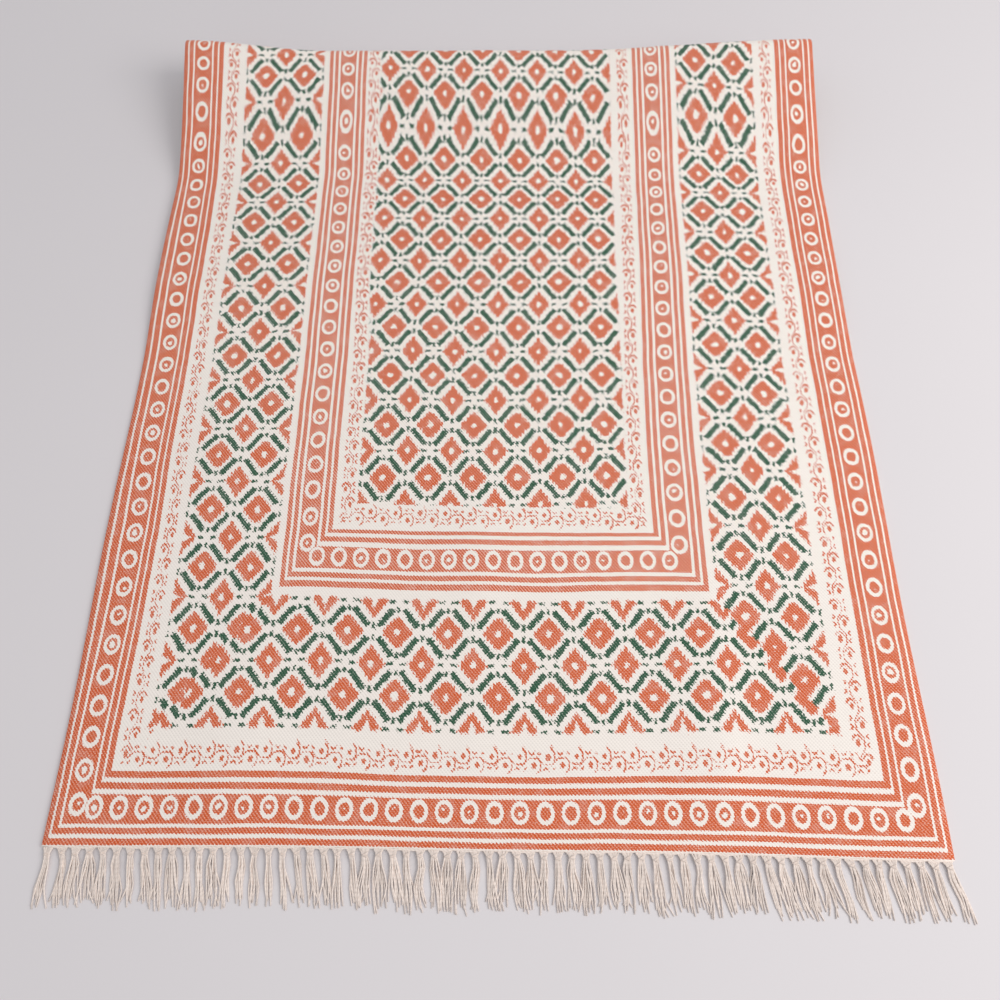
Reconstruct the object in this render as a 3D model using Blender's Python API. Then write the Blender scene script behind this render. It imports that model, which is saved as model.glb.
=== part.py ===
"""A flat-woven cotton rug with knotted fringes, lying with its far end folded back under itself.

The cloth is one folded solid. Each fringe is a comb of locks, their roots run together into a
narrow strip that lies against the cloth's end.
X runs across the rug, Y away from the open fringe, Z up from the floor.
"""
import math
import random
from collections import namedtuple

import bmesh
import bpy
from mathutils import Vector

# Cloth, in metres
CLOTH_WIDTH = 0.900
CLOTH_LENGTH = 1.500
CLOTH_THICKNESS = 0.0035
COLUMNS = 20
END_SKEW = -0.0129  # how far the near end runs off square, per metre across
END_BOW = -0.0153  # how far its corners are drawn towards -Y, per square metre across
END_WAVER = 0.0006
END_WAVE = 0.40
SIDE_WAVER = 0.0012
SIDE_WAVE = 0.41
LEFT_PHASE = 2.6
RIGHT_PHASE = 0.9
SIDE_GRIP = 7  # power that keeps the waver to the side edges

# Fold at the far end
LAYER_GAP = 0.0022
HUMP_HEIGHT = 0.066  # above the cloth that lies on the folded end, at the side edges
HUMP_SAG = 0.30  # share of that height lost across the middle
SAG_MIDDLE = -0.08  # the sag lies a little left of the rug's middle
SAG_REACH = 0.17  # half width of the lowest stretch
LYING = CLOTH_THICKNESS / 2
LAPPED = LYING + CLOTH_THICKNESS + LAYER_GAP
HIDDEN_RUN_STEPS = 7

# A bend of the cloth's middle line: where it is, its height without the hump, its share of the
# hump, its radius, and the steps taken round it and along the straight run before it.
Bend = namedtuple("Bend", "name y base share radius arc_steps run_steps")
BENDS = (
    Bend("leaves the floor", 0.580, LYING, 0.00, 0.600, 2, 14),
    Bend("lies on the folded end", 0.680, LAPPED, 0.00, 0.600, 2, 2),
    Bend("foot of the rise", 0.880, LAPPED, 0.00, 0.150, 3, 4),
    Bend("shoulder", 1.040, LAPPED, 0.80, 0.150, 3, 4),
    Bend("crest", 1.0845, LAPPED, 1.00, 0.014, 6, 1),
    Bend("heel", 1.1025, LYING, 0.00, 0.014, 7, 2),
)

# Low ripples in the lying cloth: the middle, the half lengths across and along, and the height
Ripple = namedtuple("Ripple", "x y across along height")
RIPPLES = (
    Ripple(-0.27, 0.10, 0.08, 0.17, 0.0022),
    Ripple(0.22, 0.13, 0.07, 0.20, 0.0026),
    Ripple(-0.02, 0.31, 0.10, 0.13, 0.0020),
    Ripple(0.31, 0.40, 0.09, 0.15, 0.0024),
    Ripple(-0.33, 0.44, 0.09, 0.13, 0.0022),
)

# Fringe
TASSELS = 66
PARTING = 0.0003
STRIP_DEPTH = 0.0025
TASSEL_LENGTH = 0.052
OPEN_SPLAY = 0.36  # sideways lean of the outermost tassels, as a share of their length
HIDDEN_SPLAY = -0.08
SPLAY_GRIP = 9  # power that keeps the splay to the corners
TASSEL_LEAN = 0.05
LENGTH_SPREAD = 0.06
SEED = 11

# A tassel's section: its share of the length, its half width and its height above the floor
Station = namedtuple("Station", "share half_width height")
ROOT = Station(0.0, 0.0030, 0.0030)
OPEN_TASSEL = (
    Station(0.10, 0.0036, 0.0052),
    Station(0.20, 0.0026, 0.0038),
    Station(0.62, 0.0043, 0.0036),
    Station(1.00, 0.0036, 0.0016),
)
HIDDEN_TASSEL = (
    Station(0.12, 0.0034, 0.0034),
    Station(0.62, 0.0042, 0.0030),
    Station(1.00, 0.0036, 0.0014),
)


def clear_scene():
    """Remove whatever the scene holds."""
    for thing in list(bpy.data.objects):
        bpy.data.objects.remove(thing, do_unlink=True)


def make_material(name, colour, roughness):
    """A plain finish of one colour."""
    material = bpy.data.materials.new(name)
    material.use_nodes = True
    shader = material.node_tree.nodes["Principled BSDF"]
    shader.inputs["Base Color"].default_value = (*colour, 1.0)
    shader.inputs["Roughness"].default_value = roughness
    shader.inputs["Metallic"].default_value = 0.0
    return material


def smooth_step(t):
    """Ease from 0 to 1 as t goes from 0 to 1."""
    t = min(max(t, 0.0), 1.0)
    return t * t * (3.0 - 2.0 * t)


def hump_height(x):
    """Height of the fold's hump at x: full at the side edges, lower between them."""
    from_middle = x - SAG_MIDDLE
    side_edge = math.copysign(CLOTH_WIDTH / 2, from_middle)
    reach = abs(side_edge - SAG_MIDDLE) - SAG_REACH
    edge_share = smooth_step((abs(from_middle) - SAG_REACH) / reach)
    return HUMP_HEIGHT * (1.0 - HUMP_SAG * (1.0 - edge_share))


def near_end(x):
    """Y of the cloth's near end at x: slightly off square, bowed and wavering."""
    waver = END_WAVER * (1.0 - math.cos(2 * math.pi * x / END_WAVE))
    return END_SKEW * x + END_BOW * x * x + waver


def side_waver(y, side):
    """How far the cloth strays along X at y: most at the side edges, -1 on the left and 1 on the right."""
    phase = RIGHT_PHASE if side > 0 else LEFT_PHASE
    return SIDE_WAVER * side ** SIDE_GRIP * math.sin(2 * math.pi * y / SIDE_WAVE + phase)


def column_x(column):
    """X of one of the cloth's lengthwise lines of points."""
    return CLOTH_WIDTH * (column / COLUMNS - 0.5)


def ripple_lift(x, y):
    """Height of the low ripples at a point of the lying cloth."""
    lift = 0.0
    for ripple in RIPPLES:
        reach = math.hypot((x - ripple.x) / ripple.across, (y - ripple.y) / ripple.along)
        if reach < 1.0:
            lift += ripple.height * math.cos(0.5 * math.pi * reach) ** 2
    return lift


def straight_run(start, end, steps):
    """Points along a straight run with its direction, the last point left out."""
    direction = (end - start).normalized()
    return [(start.lerp(end, step / steps), direction) for step in range(steps)]


def bend_points(corner, before, after, radius, steps):
    """Points round a bend whose tangents meet at the corner, with the direction at each."""
    turn = before.angle_signed(after)
    reach = radius * math.tan(abs(turn) / 2)
    start = corner - before * reach
    centre = start + Vector((before.y, -before.x)) * math.copysign(radius, turn)
    points = []
    for step in range(steps + 1):
        angle = turn * step / steps
        direction = Vector((
            before.x * math.cos(angle) + before.y * math.sin(angle),
            before.y * math.cos(angle) - before.x * math.sin(angle),
        ))
        normal = Vector((direction.y, -direction.x)) * math.copysign(radius, turn)
        points.append((centre - normal, direction))
    return points


def path_length(points):
    """Length of a path of (point, direction) pairs."""
    return sum((b[0] - a[0]).length for a, b in zip(points, points[1:]))


def fold_path(x):
    """The cloth's middle line at x in the plane of Y and Z, one cloth length long."""
    corners = [Vector((near_end(x), LYING))]
    corners += [Vector((bend.y, bend.base + bend.share * hump_height(x))) for bend in BENDS]
    corners.append(Vector((corners[1].x, LYING)))
    points = []
    start = corners[0]
    for index, bend in enumerate(BENDS, 1):
        before = (corners[index] - corners[index - 1]).normalized()
        after = (corners[index + 1] - corners[index]).normalized()
        arc = bend_points(corners[index], before, after, bend.radius, bend.arc_steps)
        points += straight_run(start, arc[0][0], bend.run_steps)
        points += arc[:-1]
        start = arc[-1][0]
    points.append((start, after))
    end = start + after * (CLOTH_LENGTH - path_length(points))
    points += straight_run(start, end, HIDDEN_RUN_STEPS)[1:]
    points.append((end, after))
    return points


def build_cloth(material):
    """The whole cloth as one folded solid."""
    mesh = bmesh.new()
    upper = []
    lower = []
    for column in range(COLUMNS + 1):
        x = column_x(column)
        side = 2.0 * x / CLOTH_WIDTH
        upper.append([])
        lower.append([])
        for point, direction in fold_path(x):
            normal = Vector((-direction.y, direction.x)) * (CLOTH_THICKNESS / 2)
            lift = ripple_lift(x, point.x) if direction.x > 0 else 0.0
            across = x + side_waver(point.x, side)
            for row, place in ((upper[-1], point + normal), (lower[-1], point - normal)):
                row.append(mesh.verts.new((across, place.x, place.y + lift)))
    stations = len(upper[0])
    for left, right in zip(range(COLUMNS), range(1, COLUMNS + 1)):
        for near, far in zip(range(stations - 1), range(1, stations)):
            mesh.faces.new((upper[left][near], upper[right][near], upper[right][far], upper[left][far]))
            mesh.faces.new((lower[left][near], lower[left][far], lower[right][far], lower[right][near]))
        mesh.faces.new((lower[left][0], lower[right][0], upper[right][0], upper[left][0]))
        mesh.faces.new((upper[left][-1], upper[right][-1], lower[right][-1], lower[left][-1]))
    for near, far in zip(range(stations - 1), range(1, stations)):
        mesh.faces.new((lower[0][near], upper[0][near], upper[0][far], lower[0][far]))
        mesh.faces.new((upper[-1][near], lower[-1][near], lower[-1][far], upper[-1][far]))
    return finish_object("rug_cloth", mesh, material)


def end_line(ends, x):
    """Y of the cloth's end at x, straight from column to column."""
    place = (x / CLOTH_WIDTH + 0.5) * COLUMNS
    column = min(int(place), COLUMNS - 1)
    return ends[column] + (ends[column + 1] - ends[column]) * (place - column)


def section_ring(mesh, middle, station, y_at):
    """The four corners of a tassel's section: right and left on the floor, then left and right on top."""
    right = middle + station.half_width
    left = middle - station.half_width
    corners = ((right, 0.0), (left, 0.0), (left, station.height), (right, station.height))
    return [mesh.verts.new((x, y_at(x), z)) for x, z in corners]


def build_fringe(name, material, stations, splay, ends):
    """A comb of tassels that points towards -Y from the cloth's end, whose Y at each column is in ends."""
    chance = random.Random(SEED)
    mesh = bmesh.new()
    backs = []
    roots = []
    for tassel in range(TASSELS):
        middle = CLOTH_WIDTH * ((tassel + 0.5) / TASSELS - 0.5)
        roots.append(section_ring(mesh, middle, ROOT, lambda x: end_line(ends, x) - PARTING - STRIP_DEPTH))
        backs.append(section_ring(mesh, middle, ROOT, lambda x: end_line(ends, x) - PARTING))
    for front, back in zip(roots, backs):
        join_strip(mesh, front, back)
    for tassel in range(TASSELS - 1):
        left_front, left_back = roots[tassel], backs[tassel]
        right_front, right_back = roots[tassel + 1], backs[tassel + 1]
        front = [right_front[1], left_front[0], left_front[3], right_front[2]]
        back = [right_back[1], left_back[0], left_back[3], right_back[2]]
        join_strip(mesh, front, back)
        mesh.faces.new((front[0], front[3], front[2], front[1]))
    mesh.faces.new((roots[0][1], roots[0][2], backs[0][2], backs[0][1]))
    mesh.faces.new((roots[-1][3], roots[-1][0], backs[-1][0], backs[-1][3]))
    for tassel, root in enumerate(roots):
        add_tassel(mesh, root, stations, tassel_lean(tassel, splay, chance), chance)
    return finish_object(name, mesh, material)


def join_strip(mesh, front, back):
    """Floor, top and back faces of one stretch of the strip between its front and back corners."""
    mesh.faces.new((front[0], front[1], back[1], back[0]))
    mesh.faces.new((front[2], front[3], back[3], back[2]))
    mesh.faces.new((back[0], back[1], back[2], back[3]))


def tassel_lean(tassel, splay, chance):
    """Sideways lean of a tassel, which grows to the splay at the rug's corners."""
    outward = 2.0 * (tassel + 0.5) / TASSELS - 1.0
    if tassel in (0, TASSELS - 1):
        return splay if outward > 0 else -splay
    return splay * outward ** SPLAY_GRIP + chance.uniform(-TASSEL_LEAN, TASSEL_LEAN)


def add_tassel(mesh, root, stations, lean, chance):
    """One lock from its root corners through its stations to its tip, level on the floor."""
    middle = (root[0].co.x + root[1].co.x) / 2
    front = (root[0].co.y + root[1].co.y) / 2
    length = TASSEL_LENGTH * (1.0 + chance.uniform(-LENGTH_SPREAD, LENGTH_SPREAD))
    ring = root
    for station in stations:
        reach = length * station.share
        following = section_ring(mesh, middle + lean * reach, station, lambda x: front - reach)
        for side in range(4):
            after = (side + 1) % 4
            mesh.faces.new((ring[side], ring[after], following[after], following[side]))
        ring = following
    mesh.faces.new((ring[0], ring[1], ring[2], ring[3]))


def finish_object(name, mesh, material):
    """Turn a bmesh into a named object with outward faces and its material."""
    bmesh.ops.recalc_face_normals(mesh, faces=mesh.faces)
    data = bpy.data.meshes.new(name)
    mesh.to_mesh(data)
    mesh.free()
    data.materials.append(material)
    thing = bpy.data.objects.new(name, data)
    bpy.context.scene.collection.objects.link(thing)
    return thing


def stand_at_origin(things):
    """Put the origin under the middle of the whole rug, on the floor."""
    spots = [vertex.co for thing in things for vertex in thing.data.vertices]
    middle_x = (min(spot.x for spot in spots) + max(spot.x for spot in spots)) / 2
    middle_y = (min(spot.y for spot in spots) + max(spot.y for spot in spots)) / 2
    for thing in things:
        thing.location = (-middle_x, -middle_y, 0.0)


def main():
    clear_scene()
    printed_cotton = make_material("printed_cotton", (0.72, 0.45, 0.34), 0.95)
    fringe_cotton = make_material("fringe_cotton", (0.62, 0.56, 0.50), 0.95)
    cloth = build_cloth(printed_cotton)
    middle_lines = [fold_path(column_x(column)) for column in range(COLUMNS + 1)]
    near_ends = [line[0][0].x for line in middle_lines]
    hidden_ends = [line[-1][0].x for line in middle_lines]
    open_fringe = build_fringe("fringe_near", fringe_cotton, OPEN_TASSEL, OPEN_SPLAY, near_ends)
    hidden_fringe = build_fringe(
        "fringe_folded_under", fringe_cotton, HIDDEN_TASSEL, HIDDEN_SPLAY, hidden_ends
    )
    stand_at_origin([cloth, open_fringe, hidden_fringe])


main()
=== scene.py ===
import math
import random
from collections import namedtuple

import bpy
import numpy as np
from mathutils import Matrix, Vector


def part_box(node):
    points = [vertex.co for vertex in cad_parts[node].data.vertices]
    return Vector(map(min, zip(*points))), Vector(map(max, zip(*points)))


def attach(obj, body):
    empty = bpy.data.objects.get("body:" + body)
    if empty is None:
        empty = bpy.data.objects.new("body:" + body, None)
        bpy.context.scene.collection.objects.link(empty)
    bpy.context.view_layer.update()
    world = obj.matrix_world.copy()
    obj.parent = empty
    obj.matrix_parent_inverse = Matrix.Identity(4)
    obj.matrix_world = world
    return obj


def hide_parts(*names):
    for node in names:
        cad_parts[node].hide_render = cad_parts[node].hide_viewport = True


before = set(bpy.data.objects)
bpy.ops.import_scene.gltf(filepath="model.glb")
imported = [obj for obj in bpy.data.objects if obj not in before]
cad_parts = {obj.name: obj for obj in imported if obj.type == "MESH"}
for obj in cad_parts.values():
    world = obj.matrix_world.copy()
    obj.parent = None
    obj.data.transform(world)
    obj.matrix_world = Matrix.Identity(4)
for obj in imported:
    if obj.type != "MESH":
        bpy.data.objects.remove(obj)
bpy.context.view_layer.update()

bl_info = {
    "name": "Dhurrie Rug",
    "version": (1, 0, 0),
    "blender": (4, 5, 0),
    "location": "View3D > Sidebar > Rug",
    "description": "A folded flat-woven cotton rug with a block print and knotted fringes",
    "category": "Add Mesh",
}

# The box of the cloth in the solid model, in metres
CLOTH_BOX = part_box("rug_cloth")
MM = 0.001


def paint(red, green, blue):
    """A colour from its 0 to 255 values, as the linear values that shaders use."""
    shares = (value / 255 for value in (red, green, blue))
    return tuple(s / 12.92 if s <= 0.04045 else ((s + 0.055) / 1.055) ** 2.4 for s in shares)


class RugClothSettings(bpy.types.PropertyGroup):
    """Sizes and colours of the printed cloth."""

    width: bpy.props.FloatProperty(
        name="Width", description="Width of the woven cloth",
        default=0.900, min=0.3, subtype="DISTANCE", unit="LENGTH",
    )
    length: bpy.props.FloatProperty(
        name="Length", description="Length of the cloth before it is folded, without its fringes",
        default=1.500, min=1.2, subtype="DISTANCE", unit="LENGTH",
    )
    thickness: bpy.props.FloatProperty(
        name="Thickness", description="Thickness of the cloth",
        default=0.0035, min=0.001, subtype="DISTANCE", unit="LENGTH",
    )
    hump_height: bpy.props.FloatProperty(
        name="Hump Height", description="Height of the fold's hump at the rug's sides",
        default=0.066, min=0.0, subtype="DISTANCE", unit="LENGTH",
    )
    hump_sag: bpy.props.FloatProperty(
        name="Hump Sag", description="Share of the hump's height that is lost across its middle",
        default=0.30, min=0.0, max=0.6, subtype="FACTOR",
    )
    rib_pitch: bpy.props.FloatProperty(
        name="Rib Pitch", description="Distance across between the slanting ribs of the weave",
        default=0.0037, min=0.001, subtype="DISTANCE", unit="LENGTH",
    )
    pick_pitch: bpy.props.FloatProperty(
        name="Pick Pitch", description="Distance along between rows of the weave",
        default=0.0019, min=0.0005, subtype="DISTANCE", unit="LENGTH",
    )
    cotton: bpy.props.FloatVectorProperty(
        name="Cotton", description="Colour of the unprinted cloth",
        default=paint(251, 242, 233), min=0.0, max=1.0, subtype="COLOR",
    )
    terracotta: bpy.props.FloatVectorProperty(
        name="Terracotta", description="Colour of the warm printed ink",
        default=paint(223, 103, 47), min=0.0, max=1.0, subtype="COLOR",
    )
    green: bpy.props.FloatVectorProperty(
        name="Green", description="Colour of the dark printed ink",
        default=paint(48, 94, 69), min=0.0, max=1.0, subtype="COLOR",
    )


class RugFringeSettings(bpy.types.PropertyGroup):
    """Sizes and colour of the knotted fringes."""

    tassels: bpy.props.IntProperty(
        name="Tassels", description="Number of tassels at each end",
        default=66, min=2,
    )
    yarns: bpy.props.IntProperty(
        name="Yarns", description="Yarns in each tassel",
        default=9, min=2, max=12,
    )
    yarn_thickness: bpy.props.FloatProperty(
        name="Yarn Thickness", description="Thickness of one plied yarn",
        default=0.0016, min=0.0005, subtype="DISTANCE", unit="LENGTH",
    )
    length: bpy.props.FloatProperty(
        name="Length", description="Length of a tassel from the cloth to its tip",
        default=0.0545, min=0.02, subtype="DISTANCE", unit="LENGTH",
    )
    cotton: bpy.props.FloatVectorProperty(
        name="Cotton", description="Colour of the fringe yarn",
        default=paint(247, 232, 222), min=0.0, max=1.0, subtype="COLOR",
    )


class RugStageSettings(bpy.types.PropertyGroup):
    """Floor, light and lens."""

    floor: bpy.props.FloatVectorProperty(
        name="Floor", description="Colour of the floor",
        default=paint(226, 221, 222), min=0.0, max=1.0, subtype="COLOR",
    )
    key_power: bpy.props.FloatProperty(
        name="Key Power", description="Power of the large soft light",
        default=49.0, min=0.0, subtype="POWER", unit="POWER",
    )
    fill: bpy.props.FloatProperty(
        name="Fill", description="Strength of the even light from all round",
        default=0.61, min=0.0,
    )
    lens: bpy.props.FloatProperty(
        name="Lens", description="Focal length of the camera",
        default=31.69, min=10.0, subtype="DISTANCE_CAMERA",
    )


# The fold, in metres, as the solid has it
LAYER_GAP = 0.0022
SAG_MIDDLE = -0.08
SAG_REACH = 0.17
END_SKEW = -0.0129
END_BOW = -0.0153
END_WAVER = 0.0006
END_WAVE = 0.40
SIDE_WAVER = 0.0012
SIDE_WAVE = 0.41
LEFT_PHASE = 2.6
RIGHT_PHASE = 0.9
SIDE_GRIP = 7
COLUMNS = 90
EDGE_ROUNDING = 0.0012
RIM_ANGLES = (45.0, 0.0, -45.0)
HIDDEN_RUN_STEPS = 56

# A bend of the cloth's middle line: where it is, how many cloth layers it lies on, its share of the
# hump, its radius, and the steps taken round it and along the straight run before it
Bend = namedtuple("Bend", "name y layers share radius arc_steps run_steps")
BENDS = (
    Bend("leaves the floor", 0.580, 0, 0.00, 0.600, 4, 112),
    Bend("lies on the folded end", 0.680, 1, 0.00, 0.600, 4, 14),
    Bend("foot of the rise", 0.880, 1, 0.00, 0.150, 8, 26),
    Bend("shoulder", 1.040, 1, 0.80, 0.150, 8, 24),
    Bend("crest", 1.0845, 1, 1.00, 0.014, 10, 8),
    Bend("heel", 1.1025, 0, 0.00, 0.014, 12, 8),
)

# Low ripples in the lying cloth: the middle, the half lengths across and along, and the height
Ripple = namedtuple("Ripple", "x y across along height")
RIPPLES = (
    Ripple(-0.27, 0.10, 0.08, 0.17, 0.0022),
    Ripple(0.22, 0.13, 0.07, 0.20, 0.0026),
    Ripple(-0.02, 0.31, 0.10, 0.13, 0.0020),
    Ripple(0.31, 0.40, 0.09, 0.15, 0.0024),
    Ripple(-0.33, 0.44, 0.09, 0.13, 0.0022),
)

# Faint lengthwise creases: where they are across, their half width and their height
Crease = namedtuple("Crease", "x half_width height")
CREASES = (
    Crease(-0.020, 0.020, 0.0007),
    Crease(0.235, 0.016, 0.0008),
)


def smooth_step(t):
    """Ease from 0 to 1 as t goes from 0 to 1."""
    t = min(max(t, 0.0), 1.0)
    return t * t * (3.0 - 2.0 * t)


def deselect_all():
    """Leave object mode with nothing selected."""
    if bpy.context.object and bpy.context.object.mode != "OBJECT":
        bpy.ops.object.mode_set(mode="OBJECT")
    bpy.ops.object.select_all(action="DESELECT")


# The cloth's shape


def hump_height(x, cloth):
    """Height of the fold's hump at x: full at the side edges, lower between them."""
    from_middle = x - SAG_MIDDLE
    side_edge = math.copysign(cloth.width / 2, from_middle)
    reach = abs(side_edge - SAG_MIDDLE) - SAG_REACH
    edge_share = smooth_step((abs(from_middle) - SAG_REACH) / reach)
    return cloth.hump_height * (1.0 - cloth.hump_sag * (1.0 - edge_share))


def near_end(x):
    """Y of the cloth's near end at x, before the rug is centred."""
    waver = END_WAVER * (1.0 - math.cos(2 * math.pi * x / END_WAVE))
    return END_SKEW * x + END_BOW * x * x + waver


def side_waver(y, side):
    """How far the cloth strays along X at y, for a side from -1 at the left edge to 1 at the right."""
    phase = RIGHT_PHASE if side > 0 else LEFT_PHASE
    return SIDE_WAVER * side ** SIDE_GRIP * math.sin(2 * math.pi * y / SIDE_WAVE + phase)


def surface_lift(x, y):
    """Height of the low ripples and the faint creases at a point of the lying cloth."""
    lift = 0.0
    for ripple in RIPPLES:
        reach = math.hypot((x - ripple.x) / ripple.across, (y - ripple.y) / ripple.along)
        if reach < 1.0:
            lift += ripple.height * math.cos(0.5 * math.pi * reach) ** 2
    for crease in CREASES:
        reach = (x - crease.x) / crease.half_width
        lift += crease.height * math.exp(-reach * reach)
    return lift * smooth_step(y / 0.03)


def straight_run(start, end, steps):
    """Points along a straight run with its direction, the last point left out."""
    direction = (end - start).normalized()
    return [(start.lerp(end, step / steps), direction) for step in range(steps)]


def bend_points(corner, before, after, radius, steps):
    """Points round a bend whose tangents meet at the corner, with the direction at each."""
    turn = before.angle_signed(after)
    reach = radius * math.tan(abs(turn) / 2)
    start = corner - before * reach
    centre = start + Vector((before.y, -before.x)) * math.copysign(radius, turn)
    points = []
    for step in range(steps + 1):
        angle = turn * step / steps
        direction = Vector((
            before.x * math.cos(angle) + before.y * math.sin(angle),
            before.y * math.cos(angle) - before.x * math.sin(angle),
        ))
        normal = Vector((direction.y, -direction.x)) * math.copysign(radius, turn)
        points.append((centre - normal, direction))
    return points


def path_length(points):
    """Length of a path of (point, direction) pairs."""
    return sum((b[0] - a[0]).length for a, b in zip(points, points[1:]))


def fold_path(x, cloth):
    """The cloth's middle line at x in the plane of Y and Z, one cloth length long."""
    lying = cloth.thickness / 2
    layer = cloth.thickness + LAYER_GAP
    corners = [Vector((near_end(x), lying))]
    for bend in BENDS:
        height = lying + bend.layers * layer + bend.share * hump_height(x, cloth)
        corners.append(Vector((bend.y, height)))
    corners.append(Vector((corners[1].x, lying)))
    points = []
    start = corners[0]
    for index, bend in enumerate(BENDS, 1):
        before = (corners[index] - corners[index - 1]).normalized()
        after = (corners[index + 1] - corners[index]).normalized()
        arc = bend_points(corners[index], before, after, bend.radius, bend.arc_steps)
        points += straight_run(start, arc[0][0], bend.run_steps)
        points += arc[:-1]
        start = arc[-1][0]
    points.append((start, after))
    end = start + after * (cloth.length - path_length(points))
    points += straight_run(start, end, HIDDEN_RUN_STEPS)[1:]
    points.append((end, after))
    return points


def rounded_ends(points):
    """The path with a few more points at both ends, and each point's share of the full thickness."""
    shares = (0.04, 0.35, 1.0)
    first, second = points[0], points[1]
    last, before_last = points[-1], points[-2]
    step = (second[0] - first[0]).normalized() * EDGE_ROUNDING
    back = (before_last[0] - last[0]).normalized() * EDGE_ROUNDING
    near = [(first[0] + step * share, first[1]) for share in shares]
    far = [(last[0] + back * share, last[1]) for share in reversed(shares)]
    thick = [math.sqrt(1.0 - (1.0 - share) ** 2) for share in shares]
    return near + points[1:-1] + far, thick + [1.0] * (len(points) - 2) + thick[::-1]


def rug_shift():
    """How far the rug is moved along Y so that the frame's origin is under its middle."""
    columns = (0.45 * (column / 10 - 1.0) for column in range(21))
    return CLOTH_BOX[0].y - min(near_end(x) for x in columns)


def cloth_columns(cloth):
    """X of the cloth's lengthwise lines of points, the outermost ones set in by the rounding."""
    half = cloth.width / 2 - EDGE_ROUNDING
    return [half * (2.0 * column / COLUMNS - 1.0) for column in range(COLUMNS + 1)]


def rim_points(high, low, outward):
    """The rounded side between the outermost points of the cloth's two faces, from the top down."""
    top, (x, run, _) = high
    bottom = low[0]
    middle, reach = (Vector(top) + Vector(bottom)) / 2, (Vector(top) - Vector(bottom)) / 2
    points = []
    for angle in RIM_ANGLES:
        turn = math.radians(angle)
        out = Vector((outward * EDGE_ROUNDING * math.cos(turn), 0.0, 0.0))
        place = middle + out + reach * math.sin(turn)
        points.append((tuple(place), (x + outward * EDGE_ROUNDING, run, math.sin(turn))))
    return points


def cloth_rings(cloth, shift):
    """Rings of points round the cloth's section, each point with its place on the flat cloth."""
    columns = cloth_columns(cloth)
    lines = [rounded_ends(fold_path(x, cloth)) for x in columns]
    runs = [[0.0] for _ in columns]
    for run, (points, _) in zip(runs, lines):
        for before, after in zip(points, points[1:]):
            run.append(run[-1] + (after[0] - before[0]).length)
    rings = []
    for station in range(len(lines[0][0])):
        upper, lower = [], []
        for x, (points, shares), run in zip(columns, lines, runs):
            place, direction = points[station]
            across = x + side_waver(place.x, 2.0 * x / cloth.width)
            lift = surface_lift(x, place.x) if direction.x > 0 else 0.0
            normal = Vector((-direction.y, direction.x)) * (cloth.thickness / 2 * shares[station])
            for face, spot, side in ((upper, place + normal, 1.0), (lower, place - normal, -1.0)):
                face.append(((across, spot.x + shift, spot.y + lift), (x, run[station], side)))
        right = rim_points(upper[-1], lower[-1], 1.0)
        left = rim_points(upper[0], lower[0], -1.0)
        rings.append(upper + right + lower[::-1] + left[::-1])
    return rings


def ring_faces(rings, size, columns):
    """Faces between neighbouring rings, and the two end caps."""
    faces = []
    for ring in range(rings - 1):
        for spot in range(size):
            after = (spot + 1) % size
            low, high = ring * size, (ring + 1) * size
            faces.append((low + spot, low + after, high + after, high + spot))
    lower_first = 2 * columns + 2
    for base, near in ((0, True), ((rings - 1) * size, False)):
        caps = [
            (lower_first - left, lower_first - left - 1, left + 1, left) for left in range(columns - 1)
        ]
        caps.append((columns + 3, columns + 2, columns + 1, columns, columns - 1))
        caps.append((0, size - 1, size - 2, size - 3, lower_first))
        for cap in caps:
            spots = [base + spot for spot in cap]
            faces.append(spots if near else spots[::-1])
    return faces


def new_piece(name, places, faces, material):
    """A smooth mesh piece at the origin that rides on the rug's one body."""
    mesh = bpy.data.meshes.new(name)
    mesh.from_pydata(places, [], faces)
    mesh.polygons.foreach_set("use_smooth", [True] * len(mesh.polygons))
    mesh.materials.append(material)
    mesh.update()
    if mesh.validate():
        raise RuntimeError(f"the mesh of {name} has faulty faces")
    piece = bpy.data.objects.new(name, mesh)
    bpy.context.scene.collection.objects.link(piece)
    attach(piece, "root")
    return piece


def add_point_values(piece, name, values):
    """Three numbers for each point of the piece, which its material reads by that name."""
    attribute = piece.data.attributes.new(name, "FLOAT_VECTOR", "POINT")
    attribute.data.foreach_set("vector", np.asarray(values, np.float32).ravel())


# Numbers that vary over a surface


def arithmetic(operation, turned=False):
    """A method of Measure: two values in a Math node, in the other order if turned."""

    def method(self, other):
        values = (other, self) if turned else (self, other)
        return worked(self.tree, operation, *values)

    return method


class Measure:
    """A number that varies over a surface: one output of a material's nodes, with its arithmetic."""

    def __init__(self, tree, socket):
        self.tree = tree
        self.socket = socket

    __add__ = __radd__ = arithmetic("ADD")
    __sub__ = arithmetic("SUBTRACT")
    __rsub__ = arithmetic("SUBTRACT", turned=True)
    __mul__ = __rmul__ = arithmetic("MULTIPLY")
    __truediv__ = arithmetic("DIVIDE")
    __gt__ = arithmetic("GREATER_THAN")
    __lt__ = arithmetic("LESS_THAN")

    def __neg__(self):
        return self * -1.0

    def __abs__(self):
        return worked(self.tree, "ABSOLUTE", self)


def feed(tree, value, socket):
    """Give a node's input a number or another node's output."""
    if isinstance(value, Measure):
        tree.links.new(value.socket, socket)
    else:
        socket.default_value = value


def worked(tree, operation, *values):
    """A Math node's result."""
    node = tree.nodes.new("ShaderNodeMath")
    node.operation = operation
    for value, socket in zip(values, node.inputs):
        feed(tree, value, socket)
    return Measure(tree, node.outputs[0])


def least(first, *others):
    """The lowest of several values."""
    for other in others:
        first = worked(first.tree, "MINIMUM", first, other)
    return first


def most(first, *others):
    """The highest of several values."""
    for other in others:
        first = worked(first.tree, "MAXIMUM", first, other)
    return first


def sine(value):
    """The sine of a value in radians."""
    return worked(value.tree, "SINE", value)


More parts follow.
